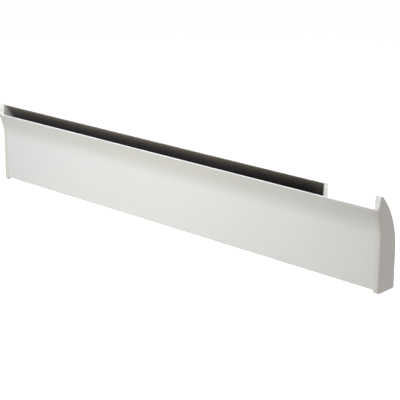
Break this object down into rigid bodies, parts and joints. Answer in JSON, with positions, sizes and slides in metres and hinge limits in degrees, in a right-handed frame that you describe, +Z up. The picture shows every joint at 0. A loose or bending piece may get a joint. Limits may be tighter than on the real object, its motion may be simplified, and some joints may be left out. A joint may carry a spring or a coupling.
{
  "type": "low panel heater",
  "caption": "Long, low wall-hung panel heater with a flared front, a top air outlet, thick end caps and a recessed dial and rocker; it hangs on a wall bracket.",
  "frame": {"origin": "on the wall plane, midway between the four screw holes of the wall bracket", "axes": "+X along the length, to the right as seen from the room, +Y into the wall, +Z up"},
  "size_m": [1.096, 0.0798, 0.184],
  "materials": {
    "cover_paint": "pale grey-white powder coat, satin",
    "cap_plastic": "pale plastic, fine matt grain",
    "liner_paint": "black heat-proof paint, matt",
    "panel_plastic": "white plastic, matt",
    "zinc_steel": "zinc-plated sheet steel",
    "screw_steel": "zinc-plated",
    "sheath_steel": "heat-tinted steel sheath",
    "fin_aluminium": "thin bright sheet",
    "ceramic": "unglazed",
    "rubber": "matt",
    "board": "green laminate",
    "board_parts": "dark moulded cases",
    "pot_metal": "plated",
    "dial_plastic": "white plastic, matt",
    "switch_plastic": "dark plastic",
    "key_plastic": "dark plastic, satin",
    "lens_plastic": "clear red-orange plastic",
    "block_plastic": "cream plastic",
    "brass": "plain",
    "gland_plastic": "dark plastic",
    "sensor": "dark resin bead",
    "clip_plastic": "white plastic",
    "lead_brown": "soft insulation",
    "lead_grey": "soft insulation",
    "lead_green": "soft insulation",
    "bracket_steel": "zinc-plated sheet steel"
  },
  "bodies": {
    "bracket": {"wall_bracket": "bracket_steel"},
    "heater": {"front_cover": "cover_paint", "rear_cover": "cover_paint", "outlet_liner": "liner_paint", "outlet_grille": "liner_paint", "right_end_cap": "cap_plastic", "left_end_cap": "cap_plastic", "end_cap_screws": "screw_steel", "cover_screws": "screw_steel", "heating_element": "sheath_steel", "element_fins": "fin_aluminium", "element_supports": "zinc_steel", "element_bushes": "ceramic", "element_terminals": "ceramic", "heat_bulkhead": "zinc_steel", "lead_grommet": "rubber", "cutout_bracket": "zinc_steel", "thermal_cutout": "ceramic", "control_panel": "panel_plastic", "control_board": "board", "board_screws": "screw_steel", "board_parts": "board_parts", "potentiometer": "pot_metal", "switch_body": "switch_plastic", "indicator_lens": "lens_plastic", "terminal_block": "block_plastic", "terminal_screws": "brass", "cable_gland": "gland_plastic", "gland_nut": "gland_plastic", "earth_screw": "screw_steel", "earth_tag": "brass", "room_sensor": "sensor", "sensor_clip": "clip_plastic", "supply_leads": "lead_brown", "element_leads": "lead_grey", "cutout_leads": "lead_grey", "sensor_lead": "lead_grey", "earth_lead": "lead_green", "wall_buffers": "rubber"},
    "dial": {"thermostat_dial": "dial_plastic", "dial_shaft": "pot_metal"},
    "rocker": {"rocker_key": "key_plastic"}
  },
  "joints": [
    {"name": "lift_off", "type": "slide", "parent": "bracket", "child": "heater", "axis": [0, 0, 1], "range_m": [0, 0.012]},
    {"name": "dial_turn", "type": "hinge", "parent": "heater", "child": "dial", "pos_m": [0.497, -0.05008, 0.0725], "axis": [0, 0, 1], "range_deg": [-270, 0]},
    {"name": "rocker_press", "type": "hinge", "parent": "heater", "child": "rocker", "pos_m": [0.453, -0.05008, 0.07], "axis": [0, 1, 0], "range_deg": [0, 12]}
  ]
}
